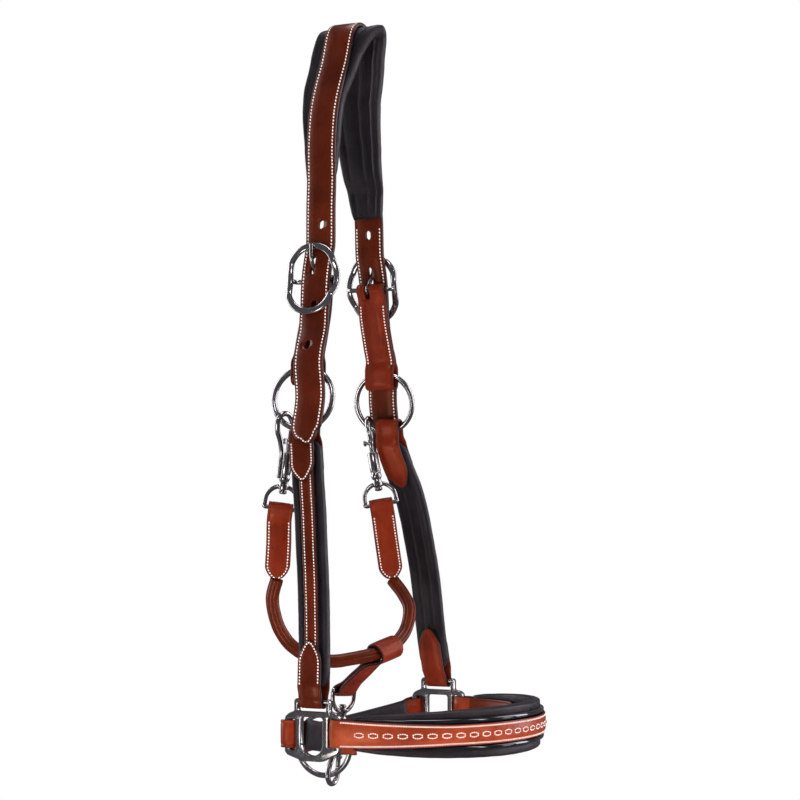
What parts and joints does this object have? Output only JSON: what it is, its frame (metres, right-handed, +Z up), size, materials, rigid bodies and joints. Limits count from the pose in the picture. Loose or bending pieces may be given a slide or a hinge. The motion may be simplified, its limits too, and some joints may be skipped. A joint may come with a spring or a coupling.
{
  "type": "bitless hackamore",
  "caption": "Padded leather bitless bridle head: crown, buckled cheeks with rings, patent noseband, chin straps on a ring, rolled throat strap on snap hooks.",
  "frame": {"origin": "underside of the crown pad at the crest, where it rests on the poll or on a hook", "axes": "+Z up, the hackamore hanging below the origin; +X the way the horse's nose points; +Y the horse's left"},
  "size_m": [0.1807, 0.1862, 0.5202],
  "materials": {
    "leather": "smooth chestnut bridle leather, waxed",
    "nappa": "soft black padded nappa, satin",
    "patent": "black patent leather, high gloss",
    "steel": "polished stainless steel"
  },
  "bodies": {
    "leather": {"chin_snap_eye": "steel", "connecting_strap": "leather", "crown_pad": "nappa", "crown_strap": "leather", "left_buckle_frame": "steel", "left_cheek_pad": "nappa", "left_cheek_strip": "leather", "left_chin_pad": "nappa", "left_chin_strap": "leather", "left_ring_tab": "leather", "left_snap_eye": "steel", "left_square": "steel", "left_square_tab": "leather", "left_throat_tab": "leather", "left_upper_cheek_strap": "leather", "noseband_facing": "patent", "noseband_pad": "nappa", "noseband_strap": "leather", "right_buckle_frame": "steel", "right_cheek_pad": "nappa", "right_cheek_strip": "leather", "right_chin_pad": "nappa", "right_chin_strap": "leather", "right_ring_tab": "leather", "right_snap_eye": "steel", "right_square": "steel", "right_square_tab": "leather", "right_throat_tab": "leather", "right_upper_cheek_strap": "leather", "throat_roll": "leather"},
    "right_tongue": {"right_buckle_tongue": "steel"},
    "right_cheek_ring": {"right_cheek_ring": "steel"},
    "right_snap": {"right_snap_hook": "steel"},
    "right_bolt": {"right_snap_bolt": "steel"},
    "left_tongue": {"left_buckle_tongue": "steel"},
    "left_cheek_ring": {"left_cheek_ring": "steel"},
    "left_snap": {"left_snap_hook": "steel"},
    "left_bolt": {"left_snap_bolt": "steel"},
    "chin_ring": {"chin_ring": "steel"},
    "chin_snap": {"chin_snap_hook": "steel"},
    "chin_bolt": {"chin_snap_bolt": "steel"}
  },
  "joints": [
    {"name": "right_tongue_hinge", "type": "hinge", "parent": "leather", "child": "right_tongue", "pos_m": [-0.0045, -0.036, -0.169], "axis": [1, 0, 0], "range_deg": [0, 8]},
    {"name": "right_cheek_ring_turn", "type": "hinge", "parent": "leather", "child": "right_cheek_ring", "pos_m": [-0.0052, -0.0525, -0.248], "axis": [0.1541, -0.9727, 0.1737], "continuous": true},
    {"name": "right_snap_swivel", "type": "hinge", "parent": "leather", "child": "right_snap", "pos_m": [-0.02387, -0.04996, -0.32036], "axis": [0.1563, -0.0179, 0.9875], "range_deg": [-8, 8]},
    {"name": "right_bolt_slide", "type": "slide", "parent": "right_snap", "child": "right_bolt", "axis": [-0.1563, 0.0179, -0.9875], "range_m": [0, 0.0045], "stiffness_N_per_m": 300, "springref_m": -0.002},
    {"name": "left_tongue_hinge", "type": "hinge", "parent": "leather", "child": "left_tongue", "pos_m": [-0.0045, 0.036, -0.169], "axis": [-1, 0, 0], "range_deg": [0, 8]},
    {"name": "left_cheek_ring_turn", "type": "hinge", "parent": "leather", "child": "left_cheek_ring", "pos_m": [-0.0018, 0.0538, -0.2475], "axis": [0.1541, -0.9727, -0.1737], "continuous": true},
    {"name": "left_snap_swivel", "type": "hinge", "parent": "leather", "child": "left_snap", "pos_m": [0.00129, 0.0437, -0.31804], "axis": [-0.2381, 0.0879, 0.9673], "range_deg": [-7, 2]},
    {"name": "left_bolt_slide", "type": "slide", "parent": "left_snap", "child": "left_bolt", "axis": [0.2381, -0.0879, -0.9673], "range_m": [0, 0.0045], "stiffness_N_per_m": 300, "springref_m": -0.002},
    {"name": "chin_ring_turn", "type": "hinge", "parent": "leather", "child": "chin_ring", "pos_m": [-0.0195, 0, -0.482], "axis": [0, 1, 0], "continuous": true},
    {"name": "chin_snap_swivel", "type": "hinge", "parent": "leather", "child": "chin_snap", "pos_m": [-0.01027, 0.01138, -0.44568], "axis": [-0.0391, -0.0868, -0.9955], "range_deg": [-8, 8]},
    {"name": "chin_bolt_slide", "type": "slide", "parent": "chin_snap", "child": "chin_bolt", "axis": [0.0391, 0.0868, 0.9955], "range_m": [0, 0.0045], "stiffness_N_per_m": 300, "springref_m": -0.002}
  ]
}
